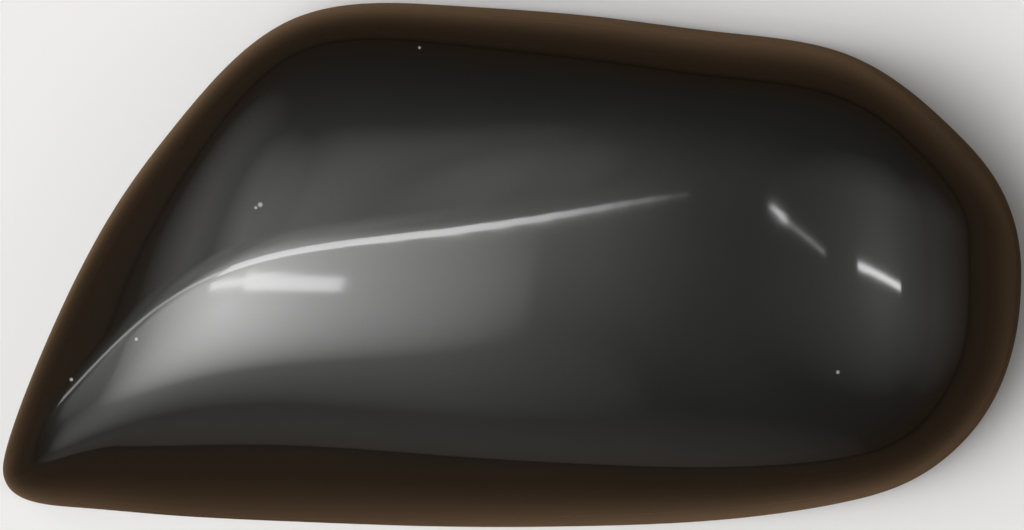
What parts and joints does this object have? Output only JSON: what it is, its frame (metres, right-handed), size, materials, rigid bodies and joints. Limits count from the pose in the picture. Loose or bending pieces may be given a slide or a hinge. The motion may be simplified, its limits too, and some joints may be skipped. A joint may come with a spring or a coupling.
{
  "type": "wing mirror cover",
  "caption": "Painted one-piece cover for a car's wing mirror housing: a deep rounded shell with a ridge, snap clips and locating pins inside.",
  "frame": {"origin": "centre of the bounding box in plan, on the plane of the open rim", "axes": "+Z out of the open rim towards the crown, +X along the length from the pointed tip by the car to the round outer nose, +Y to the mirror's top edge"},
  "size_m": [0.236, 0.1216, 0.062],
  "materials": {
    "painted_shell": "dark grey metallic paint under clear coat outside, bare dark moulding inside"
  },
  "bodies": {
    "root": {"mirror_cover": "painted_shell"}
  },
  "joints": []
}
